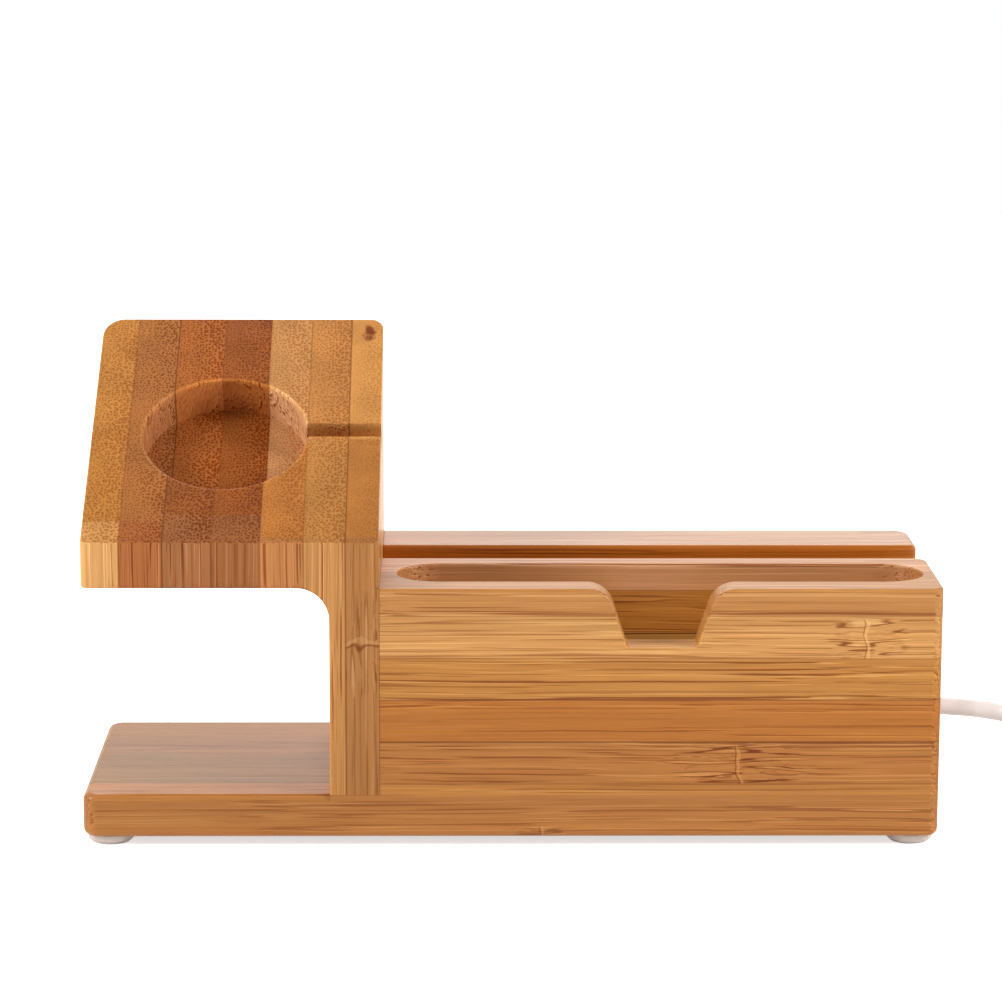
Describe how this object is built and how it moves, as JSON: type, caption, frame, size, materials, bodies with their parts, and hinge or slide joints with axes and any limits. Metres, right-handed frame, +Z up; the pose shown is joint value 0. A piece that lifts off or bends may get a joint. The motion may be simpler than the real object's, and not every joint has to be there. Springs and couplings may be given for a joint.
{
  "type": "charging station organizer",
  "caption": "Bamboo charging stand: slanted plate with a round watch-charger pocket, card slot with finger notch, phone groove with dock plug, and a coiled white lead.",
  "frame": {"origin": "on the surface it stands on, under the middle of the wooden body", "axes": "+X from the watch stand to the right end of the card block, +Y from the front to the back, +Z up"},
  "size_m": [0.2692, 0.0598, 0.0865],
  "materials": {
    "base_bamboo": "satin lacquered bamboo, grain along X",
    "stave_bamboo": "satin lacquered bamboo, grain upright, end grain on the slanted face",
    "block_bamboo": "satin lacquered bamboo, grain along X",
    "peg_bamboo": "raw bamboo",
    "bumper": "translucent grey-white",
    "cord_jacket": "smooth white",
    "plug_moulding": "smooth white",
    "plug_metal": "nickel plated",
    "contact_gold": "gold plated",
    "plug_tongue": "white insulator"
  },
  "bodies": {
    "root": {"base_strip_back": "base_bamboo", "base_strip_front": "base_bamboo", "base_strip_middle": "base_bamboo", "card_block_board_1": "block_bamboo", "card_block_board_2": "block_bamboo", "card_block_board_3": "block_bamboo", "card_block_board_4": "block_bamboo", "card_block_front_board_5": "block_bamboo", "card_block_front_board_6": "block_bamboo", "cord_coil": "cord_jacket", "cord_inner": "cord_jacket", "cord_lead": "cord_jacket", "cord_tail": "cord_jacket", "dock_plug_body": "plug_moulding", "dock_plug_contacts": "contact_gold", "dock_plug_tab": "plug_metal", "foot_back_left": "bumper", "foot_back_right": "bumper", "foot_front_left": "bumper", "foot_front_right": "bumper", "leg_peg_back": "peg_bamboo", "leg_peg_front": "peg_bamboo", "rail_board_5": "block_bamboo", "rail_board_6": "block_bamboo", "rail_peg_left": "peg_bamboo", "rail_peg_right": "peg_bamboo", "usb_plug_body": "plug_moulding", "usb_plug_contacts": "contact_gold", "usb_plug_shell": "plug_metal", "usb_plug_tongue": "plug_tongue", "watch_stave_1": "stave_bamboo", "watch_stave_2": "stave_bamboo", "watch_stave_3": "stave_bamboo", "watch_stave_4": "stave_bamboo", "watch_stave_5": "stave_bamboo", "watch_stave_6": "stave_bamboo", "watch_stave_7": "stave_bamboo"}
  },
  "joints": []
}
